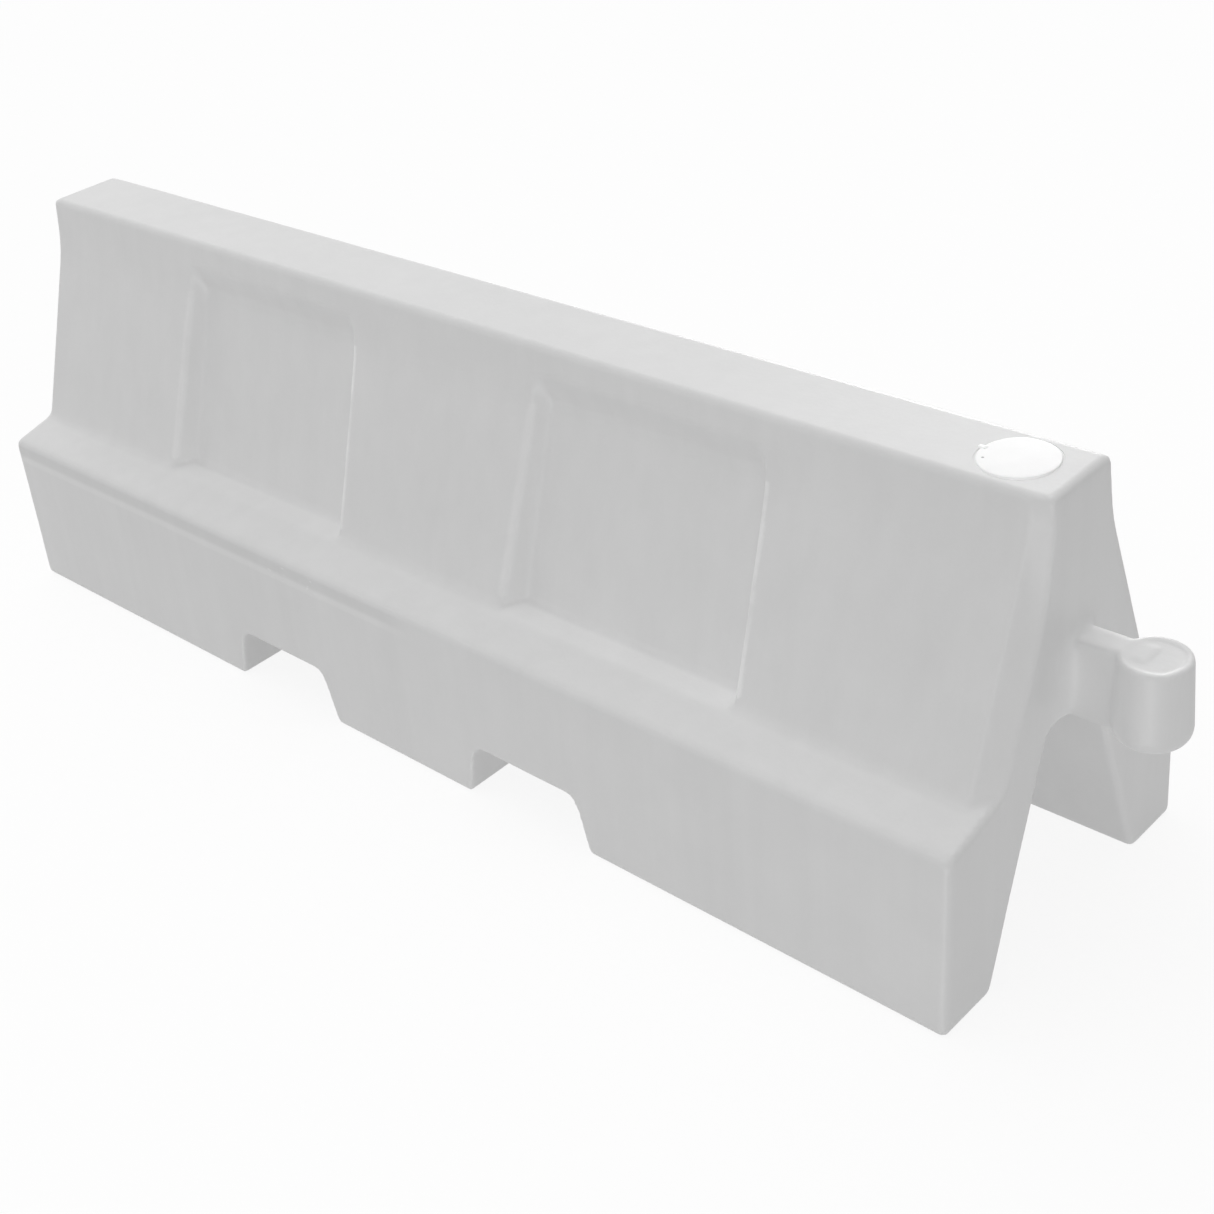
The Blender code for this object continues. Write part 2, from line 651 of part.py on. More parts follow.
def drain_pieces(parts, cutters, name, side, bush_material, plug_material, seal_material):
    place = drain_line(side)
    floor = -DRAIN_POCKET_DEPTH
    back = floor - WALL - SEATING_GAP
    flange_back = back - BUSH_FLANGE_THICKNESS
    end = floor - BUSH_LENGTH
    bush = [
        (BUSH_BORE_RADIUS, floor),
        (BUSH_RADIUS, floor),
        (BUSH_RADIUS, back),
        (BUSH_FLANGE_RADIUS, back),
        (BUSH_FLANGE_RADIUS, flange_back),
        (BUSH_RADIUS, flange_back),
        (BUSH_RADIUS, end),
        (BUSH_BORE_RADIUS, end),
    ]
    add_object(f"drain_bush_{name}", turned("drain_bush", bush, place, DRAIN_STEPS), parts, bush_material)

    seal_low = floor + SEATING_GAP
    seal_high = seal_low + DRAIN_SEAL_THICKNESS
    shank = BUSH_BORE_RADIUS - SCREW_CLEARANCE
    ring = [
        (BUSH_BORE_RADIUS, seal_high),
        (BUSH_RADIUS, seal_high),
        (BUSH_RADIUS, seal_low),
        (BUSH_BORE_RADIUS, seal_low),
    ]
    add_object(f"drain_seal_{name}", turned("drain_seal", ring, place, DRAIN_STEPS), parts, seal_material)

    head_low = seal_high + SEATING_GAP
    head_high = head_low + PLUG_HEAD_THICKNESS
    shank_low = head_low - PLUG_SHANK_LENGTH
    well = shank - PLUG_SHANK_WALL
    profile = [(0.0, head_high)]
    profile += arc((PLUG_HEAD_RADIUS - PLUG_EDGE, head_high - PLUG_EDGE), PLUG_EDGE, 90, 0)
    profile += [(PLUG_HEAD_RADIUS, head_low), (shank, head_low), (shank, shank_low + PLUG_EDGE)]
    profile += [(shank - PLUG_EDGE, shank_low), (well, shank_low), (well, head_low), (0.0, head_low)]
    turning = turned("drain_plug", profile, place, DRAIN_STEPS)
    plug = add_object(f"drain_plug_{name}", turning, parts, plug_material)
    low = (-PLUG_BAR_LENGTH / 2, -PLUG_BAR_WIDTH / 2, head_high - PLUG_EDGE)
    high = (PLUG_BAR_LENGTH / 2, PLUG_BAR_WIDTH / 2, head_high + PLUG_BAR_HEIGHT)
    bar = rounded_box(f"plug_bar_{name}", low, high, PLUG_EDGE)
    bar.transform(place)
    boolean(plug, add_object(bar.name, bar, cutters), "UNION")


def main():
    parts, cutters = start_scene()
    grey = finish("grey_polyethylene", (0.62, 0.62, 0.62), 0.5)
    white = finish("white_polyethylene", (0.93, 0.93, 0.93), 0.4)
    dark = finish("black_plastic", (0.05, 0.05, 0.055), 0.45)
    rubber = finish("black_rubber", (0.03, 0.03, 0.03), 0.8)
    brass = finish("bush_brass", (0.62, 0.48, 0.22), 0.35, 1.0)
    body_shell(parts, cutters, grey)
    filler_pieces(parts, cutters, white, rubber)
    for name, side in SIDES:
        drain_pieces(parts, cutters, name, side, brass, dark, rubber)


main()
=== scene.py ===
import math

import bmesh
import bpy
import numpy as np
from mathutils import Matrix, Vector, noise


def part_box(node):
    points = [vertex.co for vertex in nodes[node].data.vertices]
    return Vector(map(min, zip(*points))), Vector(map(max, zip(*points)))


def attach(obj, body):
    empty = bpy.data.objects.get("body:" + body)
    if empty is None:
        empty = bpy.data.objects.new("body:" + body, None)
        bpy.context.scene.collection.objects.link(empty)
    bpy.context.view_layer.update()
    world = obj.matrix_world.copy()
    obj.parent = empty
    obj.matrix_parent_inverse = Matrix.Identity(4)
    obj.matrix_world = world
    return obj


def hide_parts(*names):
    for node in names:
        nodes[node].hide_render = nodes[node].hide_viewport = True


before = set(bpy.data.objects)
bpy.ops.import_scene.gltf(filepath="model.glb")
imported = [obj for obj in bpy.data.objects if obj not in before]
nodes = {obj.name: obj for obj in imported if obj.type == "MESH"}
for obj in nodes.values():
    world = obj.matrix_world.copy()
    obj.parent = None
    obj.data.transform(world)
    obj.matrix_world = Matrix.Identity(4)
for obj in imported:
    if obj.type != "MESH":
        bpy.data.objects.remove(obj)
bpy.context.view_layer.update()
print("frame loaded, nodes:", len(nodes))


# where the CAD puts the filler and the two drains
sealLow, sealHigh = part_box("filler_seal")
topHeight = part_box("body_shell")[1].z
fillerSpot = Vector(((sealLow.x + sealHigh.x) / 2, 0.0, topHeight))
drainSpots = {}
for side in ("front", "back"):
    low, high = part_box(f"drain_bush_{side}")
    drainSpots[side] = Vector((low.x, (low.y + high.y) / 2, (low.z + high.z) / 2))  # on the pocket floor


class Wire:
    # one shader socket that can be used in sums
    def __init__(self, shade, socket):
        self.shade = shade
        self.socket = socket

    def sum(self, kind, first, second):
        return self.shade.node("ShaderNodeMath", {"operation": kind}, {0: first, 1: second})

    def __add__(self, other):
        return self.sum("ADD", self, other)

    def __radd__(self, other):
        return self.sum("ADD", other, self)

    def __sub__(self, other):
        return self.sum("SUBTRACT", self, other)

    def __rsub__(self, other):
        return self.sum("SUBTRACT", other, self)

    def __mul__(self, other):
        return self.sum("MULTIPLY", self, other)

    def __rmul__(self, other):
        return self.sum("MULTIPLY", other, self)

    def between(self, low, high):  # 0 at low, 1 at high, smooth in between
        values = {0: self, 1: low, 2: high, 3: 0.0, 4: 1.0}
        return self.shade.node("ShaderNodeMapRange", {"interpolation_type": "SMOOTHSTEP"}, values)

    def band(self, rise, fall):  # 1 between two soft ends
        return self.between(*rise) * (1.0 - self.between(*fall))


class Shade:
    # adds nodes to a shader tree
    def __init__(self, tree):
        self.tree = tree

    def node(self, kind, settings=None, values=None, out=0):
        made = self.tree.nodes.new(kind)
        for key, value in (settings or {}).items():
            setattr(made, key, value)
        for key, value in (values or {}).items():
            self.put(made.inputs[key], value)
        return Wire(self, made.outputs[out])

    def put(self, socket, value):
        if isinstance(value, Wire):
            self.tree.links.new(value.socket, socket)
        else:
            socket.default_value = value

    def split(self, vector):
        x = self.node("ShaderNodeSeparateXYZ", None, {0: vector})
        return [Wire(self, output) for output in x.socket.node.outputs]


class Finish(Shade):
    # a procedural material on object coordinates
    def __init__(self, name, fixed):
        self.material = bpy.data.materials.new(name)
        self.material.use_nodes = True
        super().__init__(self.material.node_tree)
        self.shader = self.tree.nodes["Principled BSDF"]
        for key, value in fixed.items():
            self.shader.inputs[key].default_value = value
        self.place = self.node("ShaderNodeTexCoord", out="Object")

    def feed(self, key, value):
        self.put(self.shader.inputs[key], value)

    def grain(self, scale, detail=3.0, stretch=(1.0, 1.0, 1.0), rough=0.5):
        spot = self.node("ShaderNodeMapping", None, {"Vector": self.place, "Scale": stretch})
        values = {"Vector": spot, "Scale": scale, "Detail": detail, "Roughness": rough}
        return self.node("ShaderNodeTexNoise", None, values)

    def mix(self, share, first, second):
        settings = {"data_type": "RGBA", "clamp_factor": True}
        return self.node("ShaderNodeMix", settings, {0: share, 6: first, 7: second}, 2)

    def bump(self, height, strength, distance):
        values = {"Height": height, "Strength": strength, "Distance": distance}
        return self.node("ShaderNodeBump", None, values)


def grey(level):
    return (level, level, level, 1.0)


tankLook = {
    "dark": 0.60,
    "light": 0.735,
    # pale grey of rubbed edges, also used as a painted edge highlight
    "wornAndHighlit": 0.86,
    "roughness": 0.46,
    "lipFront": (-0.243, -0.238),  # each pair is where a soft end starts and stops
    "lipEnd": (-0.10, 0.0),
    # painted shadow band under the lip, then painted highlight band below it
    "lipShadow": ((0.226, 0.234), (0.243, 0.250)),
    "lipHighlight": ((0.214, 0.220), (0.224, 0.230)),
    "scuffLength": ((-0.34, -0.30), (-0.23, -0.20)),
    "scuffHeight": ((0.212, 0.222), (0.240, 0.246)),
}


def tankFinish(look):
    finish = Finish("tankPolyethylene", {"IOR": 1.5, "Specular IOR Level": 0.35})
    x, y, z = finish.split(finish.place)
    cloud = finish.grain(1.7, 3.0)  # slow drift of the moulded colour
    mottle = finish.grain(13.0, 5.0, rough=0.6)
    streaks = finish.grain(1.0, 4.0, (34.0, 34.0, 1.6))  # upright run marks
    speckle = finish.grain(260.0, 2.0)
    # edge mask: partly rubbed wear, partly a painted highlight
    edge = finish.node("ShaderNodeAttribute", {"attribute_name": "edgeWearAndHighlight"}, out="Fac")
    wornAndHighlit = edge * mottle.between(0.15, 0.55)
    lip = (1.0 - y.between(*look["lipFront"])) * (1.0 - x.between(*look["lipEnd"]))  # where a faint lip under the front ledge is painted as a shadow band and a highlight band; the scuffs go here too
    lipShadow = lip * z.band(*look["lipShadow"])
    lipHighlight = lip * z.band(*look["lipHighlight"])
    scuffs = lip * finish.grain(1.0, 3.0, (70.0, 70.0, 170.0)).between(0.60, 0.66)
    scuffs = scuffs * x.band(*look["scuffLength"]) * z.band(*look["scuffHeight"])
    tone = 0.5 + (cloud - 0.5) * 0.55 + (mottle - 0.5) * 0.35 + (streaks - 0.5) * 0.30 + (speckle - 0.5) * 0.10
    # painted shadow and painted highlight of the lip
    tone = tone - lipShadow * 0.35 + lipHighlight * 0.22
    base = finish.mix(tone, grey(look["dark"]), grey(look["light"]))
    rubbedAndHighlit = finish.mix(wornAndHighlit * 0.70 + scuffs * 0.6, base, grey(look["wornAndHighlit"]))
    finish.feed("Base Color", rubbedAndHighlit)
    finish.feed("Roughness", look["roughness"] + (mottle - 0.5) * 0.16 - wornAndHighlit * 0.08)
    skin = finish.grain(150.0, 3.0) * 0.55 + finish.grain(38.0, 2.0) * 0.45 + speckle * 0.20
    finish.feed("Normal", finish.bump(skin, 0.16, 0.0012))
    return finish.material


capLook = {
    "shade": 0.86,
    "light": 0.92,
    # where the painted shade of the small vent hole sits, and its size
    "ventHoleShade": (-0.0318, -0.0203),
    "ventRadius": 0.0016,
}


def capFinish(look, spot):
    finish = Finish("capPolyethylene", {"IOR": 1.5, "Specular IOR Level": 0.3})
    x, y = finish.split(finish.place)[:2]
    cloud = finish.grain(40.0, 3.0)
    scuff = finish.grain(1.0, 3.0, (60.0, 420.0, 420.0)).between(0.60, 0.74)
    awayX = x - (spot.x + look["ventHoleShade"][0])
    awayY = y - (spot.y + look["ventHoleShade"][1])
    away = finish.node("ShaderNodeMath", {"operation": "SQRT"}, {0: awayX * awayX + awayY * awayY})
    # painted shade of a small vent hole: a dark spot, also dipped a little in the bump
    ventHoleShade = 1.0 - away.between(look["ventRadius"] * 0.6, look["ventRadius"] * 1.3)
    base = finish.mix(0.5 + (cloud - 0.5) * 0.8 - scuff * 0.25, grey(look["shade"]), grey(look["light"]))
    finish.feed("Base Color", finish.mix(ventHoleShade * 0.75, base, grey(0.12)))
    finish.feed("Roughness", 0.38 + (cloud - 0.5) * 0.2 + scuff * 0.1)
    finish.feed("Normal", finish.bump(finish.grain(300.0, 2.0) - ventHoleShade * 2.0, 0.12, 0.0006))
    return finish.material


def rubberFinish():
    finish = Finish("sealRubber", {"IOR": 1.45, "Specular IOR Level": 0.3})
    bloom = finish.grain(90.0, 4.0)
    finish.feed("Base Color", finish.mix(bloom.between(0.35, 0.75), grey(0.022), grey(0.05)))
    finish.feed("Roughness", 0.68 + (bloom - 0.5) * 0.3)
    finish.feed("Normal", finish.bump(finish.grain(700.0, 2.0), 0.15, 0.0004))
    return finish.material


def plugFinish():
    finish = Finish("plugPlastic", {"IOR": 1.5, "Specular IOR Level": 0.4})
    mottle = finish.grain(70.0, 4.0)
    dust = finish.grain(22.0, 3.0).between(0.5, 0.8)
    base = finish.mix(mottle, grey(0.035), grey(0.065))
    finish.feed("Base Color", finish.mix(dust * 0.25, base, grey(0.22)))
    finish.feed("Roughness", 0.42 + (mottle - 0.5) * 0.2 + dust * 0.15)
    finish.feed("Normal", finish.bump(finish.grain(500.0, 2.0), 0.2, 0.0004))
    return finish.material


def brassFinish():
    finish = Finish("bushBrass", {"Metallic": 1.0})
    tarnish = finish.grain(60.0, 4.0).between(0.35, 0.7)
    turning = finish.grain(1.0, 2.0, (2600.0, 60.0, 60.0))
    finish.feed("Base Color", finish.mix(tarnish, (0.66, 0.50, 0.22, 1.0), (0.45, 0.31, 0.13, 1.0)))
    finish.feed("Roughness", 0.28 + tarnish * 0.2 + (turning - 0.5) * 0.12)
    finish.feed("Normal", finish.bump(turning, 0.1, 0.0002))
    return finish.material


finishes = {
    "tank": tankFinish(tankLook),
    "cap": capFinish(capLook, fillerSpot),
    "rubber": rubberFinish(),
    "plug": plugFinish(),
    "brass": brassFinish(),
}
print("finishes made:", ", ".join(finishes))


def shown(name, mesh):
    thing = bpy.data.objects.new(name, mesh)
    bpy.context.scene.collection.objects.link(thing)
    return thing


def meshOf(shape, name):
    mesh = bpy.data.meshes.new(name)
    shape.to_mesh(mesh)
    shape.free()
    stored = mesh.attributes.get("custom_normal")
    if stored:
        mesh.attributes.remove(stored)  # no longer true of the new shape
    return mesh


def settled(thing):
    # bakes the modifiers into a plain mesh
    bpy.context.view_layer.update()
    graph = bpy.context.evaluated_depsgraph_get()
    mesh = bpy.data.meshes.new_from_object(thing.evaluated_get(graph))
    thing.modifiers.clear()
    old = thing.data
    thing.data = mesh
    bpy.data.meshes.remove(old)
    return thing


def cut(thing, tool, kind="DIFFERENCE"):
    change = thing.modifiers.new("cut", "BOOLEAN")
    change.operation = kind
    change.solver = "MANIFOLD"
    change.object = tool
    settled(thing)
    bpy.data.objects.remove(tool, do_unlink=True)


def arcPoints(centre, radius, start, end, steps=6):
    points = []
    for i in range(steps + 1):
        angle = math.radians(start + (end - start) * i / steps)
        points.append((centre[0] + radius * math.cos(angle), centre[1] + radius * math.sin(angle)))
    return points


def turned(name, profile, place, steps=96, closed=False):
    # profile of (radius, height) points turned about Z, then put in place
    shape = bmesh.new()
    rings = []
    for radius, height in profile:
        count = steps if radius > 1e-6 else 1
        angles = [2 * math.pi * i / steps for i in range(count)]
        rings.append([shape.verts.new((radius * math.cos(a), radius * math.sin(a), height)) for a in angles])
    pairs = list(zip(rings, rings[1:]))
    if closed:
        pairs.append((rings[-1], rings[0]))
    for upper, lower in pairs:
        for i in range(steps):
            j = (i + 1) % steps
            corners = [upper[i % len(upper)], lower[i % len(lower)], lower[j % len(lower)], upper[j % len(upper)]]
            shape.faces.new(list(dict.fromkeys(corners)))
    bmesh.ops.recalc_face_normals(shape, faces=shape.faces)
    bmesh.ops.transform(shape, matrix=place, verts=shape.verts)
    return meshOf(shape, name)


def smoothShaded(mesh, angle):
    mesh.shade_smooth()
    mesh.set_sharp_from_angle(angle=math.radians(angle))


def fitted(thing, body, finish, replaced=()):
    thing.data.materials.clear()
    thing.data.materials.append(finish)
    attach(thing, body)
    if replaced:
        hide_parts(*replaced)
    return thing


# the moulded tank

tank = {
    "voxel": 0.0036,
    "triangles": 176000,
    "softRounds": 1,
    "sharpAngle": 50.0,
    "seatRadius": 0.0485,
    "seatDepth": 0.008,
    "seatLip": 0.0012,
    "seatTop": 0.01,
    "seatSpan": (-0.0165, 0.001),
    "wellRadius": 0.0450,
    "holeRadius": 0.0378,
    "holeSpan": (-0.03, 0.02),
    "drainHole": 0.0248,
    "drainSpan": (-0.02, 0.006),
    "drainPocket": (-0.004, 0.01),
    "dropMargin": 0.0006,
    "neckBlends": ((120, 0.1320, 0.034), (12, 0.0800, 0.024)),  # rounds, way back from the tip, reach
    "neckFoot": (0.285, 0.315),
    "neckHead": (0.445, 0.465),
    "neckSide": (0.042, 0.062),
    "warp": 0.0007,
    "warpLength": 0.30,
    "ripple": 0.00022,
    "rippleLength": 0.055,
    "stillFoot": 0.02,
}
# lighter tank edges: partly rubbed wear, partly a painted highlight along the edges and bay rims
wearAndHighlight = {
    "length": 1.855,
    "bend": (30.0, 120.0),  # where rubbing and the painted edge highlight start and where they are full
    "rimBend": (9.0, 27.0),
    "rimRounds": 4,
    "rimTurn": -0.10,
    "rimShares": (1.0, 0.3),
    "reach": 0.90,
    "shares": (0.4, 0.12),
    "bayReach": 0.60,
    "bayHeights": (0.283, 0.533),
    "capClear": (0.075, 0.03),
    "drainClear": 0.04,
}


def weldedCopy(node):
    shape = bmesh.new()
    shape.from_mesh(node.data)
    bmesh.ops.remove_doubles(shape, verts=shape.verts, dist=1e-5)
    return shape


def dropRound(shape, spot, axis, radius, low, high):
    # takes out the faces of a round hole or seat
    across = [i for i in range(3) if i != axis]
    gone = []
    for face in shape.faces:
        inside = True
        for corner in face.verts:
            away = math.hypot(*(corner.co[i] - spot[i] for i in across))
            if away > radius or not low < corner.co[axis] < high:
                inside = False
                break
        if inside:
            gone.append(face)
    bmesh.ops.delete(shape, geom=gone, context="FACES")


def shells(shape):
    # the outer skin and the hollow, each closed
    seen = {}
    tops = []
    for start in shape.verts:
        if start in seen:
            continue
        waiting = [start]
        top = start.co.z
        while waiting:
            corner = waiting.pop()
            if corner in seen:
                continue
            seen[corner] = len(tops)
            top = max(top, corner.co.z)
            waiting += [edge.other_vert(corner) for edge in corner.link_edges]
        tops.append(top)
    outer = tops.index(max(tops))
    shape.verts.index_update()
    group = {corner.index: which for corner, which in seen.items()}
    made = []
    for keepOuter in (True, False):
        part = shape.copy()
        part.verts.ensure_lookup_table()
        extra = [corner for corner in part.verts if (group[corner.index] == outer) != keepOuter]
        bmesh.ops.delete(part, geom=extra, context="VERTS")
        bmesh.ops.holes_fill(part, edges=[edge for edge in part.edges if edge.is_boundary], sides=0)
        bmesh.ops.recalc_face_normals(part, faces=part.faces)
        made.append(meshOf(part, "tankSkin" if keepOuter else "tankHollow"))
    shape.free()
    return made


def positions(mesh):
    flat = np.empty(len(mesh.vertices) * 3)
    mesh.vertices.foreach_get("co", flat)
    return flat.reshape(-1, 3)


def edgeEnds(mesh):
    flat = np.empty(len(mesh.edges) * 2, np.int32)
    mesh.edges.foreach_get("vertices", flat)
    return flat[0::2], flat[1::2]


def around(values, first, second, count):
    # mean of each vertex's neighbours
    ends = np.concatenate((first, second))
    others = np.concatenate((second, first))
    share = np.maximum(np.bincount(ends, minlength=count), 1)
    return np.stack([np.bincount(ends, column[others], count) / share for column in values.T], 1)


def normalsOf(mesh):
    flat = np.empty(len(mesh.vertices) * 3)
    mesh.vertex_normals.foreach_get("vector", flat)
    return flat.reshape(-1, 3)


def moved(mesh, place):
    mesh.vertices.foreach_set("co", place.ravel())
    mesh.update()


def relaxed(mesh, rounds, weight, fillOnly=False):
    # softens the skin, or only fills its hollow creases
    place = positions(mesh)
    first, second = edgeEnds(mesh)
    pull = weight(place)[:, None] * 0.5
    near = (pull[first, 0] > 0) | (pull[second, 0] > 0)
    first, second = first[near], second[near]
    for count in range(rounds):
        step = (around(place, first, second, len(place)) - place) * pull
        if fillOnly:
            if count % 10 == 0:
                moved(mesh, place)
                normals = normalsOf(mesh)
            step = step * ((step * normals).sum(1) > 0)[:, None]
        place = place + step
    moved(mesh, place)


def rising(values, low, high):
    return np.clip((values - low) / (high - low), 0, 1)


def neckWeight(settings, fromTip, reach):
    # the blends at the two ends of the neck, a distance back from the tip of the knuckle
    def weight(place):
        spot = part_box("body_shell")[1].x - fromTip
        near = np.clip(1.4 - 1.4 * np.abs(place[:, 0] - spot) / reach, 0, 1)
        high = rising(place[:, 2], *settings["neckFoot"]) * (1 - rising(place[:, 2], *settings["neckHead"]))
        wide = 1 - rising(np.abs(place[:, 1]), *settings["neckSide"])
        return near * high * wide
    return weight


def warped(mesh, settings):
    # the slow unevenness of a large moulding
    place, normals = positions(mesh), normalsOf(mesh)
    shift = np.empty(len(place))
    for i, point in enumerate(place):
        spot = Vector(point)
        slow = noise.noise(spot / settings["warpLength"])
        quick = noise.noise(spot / settings["rippleLength"] + Vector((7.0, 3.0, 5.0)))
        shift[i] = settings["warp"] * slow + settings["ripple"] * quick
    shift *= rising(place[:, 2], 0.0, settings["stillFoot"])  # the feet stay on the ground
    moved(mesh, place + normals * shift[:, None])


def markWearAndHighlights(mesh, settings):
    # how sharply the skin bends outwards, for rubbed edges that also carry a painted highlight
    count = len(mesh.vertices)
    place, normals = positions(mesh), normalsOf(mesh)
    first, second = edgeEnds(mesh)
    step = place[second] - place[first]
    length = np.maximum((step ** 2).sum(1), 1e-10)
    bend = np.bincount(first, -(step * normals[first]).sum(1) / length, count)
    bend += np.bincount(second, (step * normals[second]).sum(1) / length, count)
    bend /= np.maximum(np.bincount(np.concatenate((first, second)), minlength=count), 1)
    bend = 0.5 * bend + 0.5 * around(bend[:, None], first, second, count)[:, 0]
    x, y, z = place.T
    along = np.abs(x - (x.min() + settings["length"] / 2))
    # edges made lighter for wear and for a painted highlight along them
    rubbedAndHighlit = rising(2 * bend, *settings["bend"]) * np.where(along < settings["reach"], *settings["shares"])
    wide = bend[:, None]
    for _ in range(settings["rimRounds"]):
        wide = 0.5 * wide + 0.5 * around(wide, first, second, count)
    rimHighlight = rising(2 * wide[:, 0], *settings["rimBend"])
    rimHighlight *= np.where(normals[:, 0] < settings["rimTurn"], *settings["rimShares"])
    low, high = settings["bayHeights"]
    bays = (along < settings["bayReach"]) & (z > low) & (z < high)
    rubbedAndHighlit = np.where(bays, rimHighlight, rubbedAndHighlit)  # painted highlight, most on one rim of each bay
    clear, depth = settings["capClear"]
    rubbedAndHighlit[(np.hypot(x - fillerSpot.x, y) < clear) & (z > fillerSpot.z - depth)] = 0
    for spot in drainSpots.values():
        rubbedAndHighlit[((place - np.array(spot)) ** 2).sum(1) < settings["drainClear"] ** 2] = 0
    mesh.attributes.new("edgeWearAndHighlight", "FLOAT", "POINT").data.foreach_set("value", rubbedAndHighlit.astype(np.float32))


def cylinder(name, radius, low, high, place):
    return shown(name, turned(name, [(0.0, high), (radius, high), (radius, low), (0.0, low)], place))


def outOf(spot):
    # from Z to the way out of a drain
    return Matrix.Translation(spot) @ Matrix.Rotation(math.radians(-90), 4, "Y")


def makeTank(settings, wearAndHighlight):
    shape = weldedCopy(nodes["body_shell"])
    top, margin = fillerSpot.z, settings["dropMargin"]
    dropRound(shape, fillerSpot, 2, settings["seatRadius"] + margin, *(top + end for end in settings["seatSpan"]))
    for spot in drainSpots.values():
        span = (spot.x + end for end in settings["drainPocket"])
        dropRound(shape, spot, 0, settings["drainHole"] + margin, *span)
    skin, hollow = shells(shape)
    body = shown("tankBody", skin)
    remesh = body.modifiers.new("remesh", "REMESH")
    remesh.mode = "VOXEL"
    remesh.voxel_size = settings["voxel"]
    settled(body)
    relaxed(body.data, settings["softRounds"], lambda place: np.ones(len(place)))
    for rounds, fromTip, reach in settings["neckBlends"]:
        relaxed(body.data, rounds, neckWeight(settings, fromTip, reach), True)
    thin = body.modifiers.new("thin", "DECIMATE")
    thin.ratio = settings["triangles"] / (2 * len(body.data.polygons))
    settled(body)
    warped(body.data, settings)
    print("tank skin:", len(body.data.polygons), "faces")
    cut(body, shown("tankHollow", hollow))
    lip = settings["seatLip"]
    radius, well = settings["seatRadius"], settings["wellRadius"]
    high, deep = settings["seatTop"], -settings["seatDepth"]
    seat = [(0.0, high), (radius, high), (radius, -lip), (well, -lip), (well, deep), (0.0, deep)]  # groove, then well
    above = Matrix.Translation(fillerSpot)
    cut(body, shown("seatTool", turned("seatTool", seat, above)))
    cut(body, cylinder("fillerTool", settings["holeRadius"], *settings["holeSpan"], above))
    for spot in drainSpots.values():
        cut(body, cylinder("drainTool", settings["drainHole"], *settings["drainSpan"], outOf(spot)))
    smoothShaded(body.data, settings["sharpAngle"])
    markWearAndHighlights(body.data, wearAndHighlight)
    return fitted(body, "tank", finishes["tank"], ["body_shell"])


makeTank(tank, wearAndHighlight)
print("tank body done")


# the filler cap and its seal

cap = {
    "rim": 0.0457,
    "underRim": 0.0446,
    "rimFoot": -0.0008,
    "rise": 0.0018,
    "crown": 0.0003,
    "rimDepth": 0.0063,
    "edge": 0.0012,
    "skirt": 0.0370,
    "skirtLength": 0.030,
    "skirtWall": 0.0033,
    "crownThickness": 0.0024,
    "ribs": (0.007, 0.014, 0.021),
    "ribRise": 0.0005,
    "ribSpan": (0.0012, 0.0004),
    "footEdge": 0.0016,
    "crownFillet": 0.002,
    "tabWidth": 0.0068,
    "tabReach": 0.0046,
    "tabRoot": 0.006,
    "tabHeight": 0.0018,
    "tabEdge": 0.0007,
    "tabLevel": 0.0016,
    "sharpAngle": 40.0,
}


def makeCap(settings):
    top = settings["rise"]
    rim, edge = settings["rim"], settings["edge"]
    low = top - settings["rimDepth"]
    skirt = settings["skirt"]
    foot = low - settings["skirtLength"]
    profile = [(0.0, top + settings["crown"]), (rim * 0.55, top + settings["crown"] * 0.7), (rim * 0.85, top)]
    profile += arcPoints((rim - edge, top - edge), edge, 90, 0)
    rimFoot, underRim = settings["rimFoot"], settings["underRim"]
    profile += [(rim, rimFoot), (underRim, rimFoot), (underRim, low), (skirt, low)]
    rib = skirt + settings["ribRise"]
    wide, narrow = settings["ribSpan"]
    for drop in settings["ribs"]:  # snap ribs round the skirt
        level = low - drop
        profile += [(skirt, level + wide), (rib, level + narrow), (rib, level - narrow), (skirt, level - wide)]
    turn = settings["footEdge"]
    profile += arcPoints((skirt - turn, foot + turn), turn, 0, -90, 4)
    inner = skirt - settings["skirtWall"]
    crown, fillet = top - settings["crownThickness"], settings["crownFillet"]
    profile += [(inner, foot), (inner, crown - fillet)]
    profile += arcPoints((inner - fillet, crown - fillet), fillet, 0, 90, 4)
    profile += [(0.0, crown)]
    above = Matrix.Translation(fillerSpot)
    lid = shown("fillerCap", turned("fillerCap", profile, above))
    tab = bmesh.new()
    bmesh.ops.create_cube(tab, size=1.0)
    size = (settings["tabReach"] + settings["tabRoot"], settings["tabWidth"], settings["tabHeight"])
    bmesh.ops.transform(tab, matrix=Matrix.Diagonal((*size, 1.0)), verts=tab.verts)
    bmesh.ops.bevel(tab, geom=tab.edges, offset=settings["tabEdge"], segments=3, profile=0.5, affect="EDGES")
    middle = size[0] / 2 - rim - settings["tabReach"]
    bmesh.ops.translate(tab, vec=fillerSpot + Vector((middle, 0.0, settings["tabLevel"])), verts=tab.verts)
    cut(lid, shown("capTab", meshOf(tab, "capTab")), "UNION")
    smoothShaded(lid.data, settings["sharpAngle"])
    return fitted(lid, "filler_cap", finishes["cap"], ["filler_cap"])


seals = {
    "edge": 0.0012,
    "sharpAngle": 50.0,
    "fillerBore": 0.0379,
    "fillerGap": 0.0004,
    "drainBore": 0.0187,
}


def ring(settings, name, inner, outer, low, high, place):
    edge = settings["edge"]
    profile = arcPoints((inner + edge, high - edge), edge, 180, 90, 4)
    profile += arcPoints((outer - edge, high - edge), edge, 90, 0, 4)
    profile += arcPoints((outer - edge, low + edge), edge, 0, -90, 4)
    profile += arcPoints((inner + edge, low + edge), edge, 270, 180, 4)
    made = shown(name, turned(name, profile, place, closed=True))
    smoothShaded(made.data, settings["sharpAngle"])
    return made


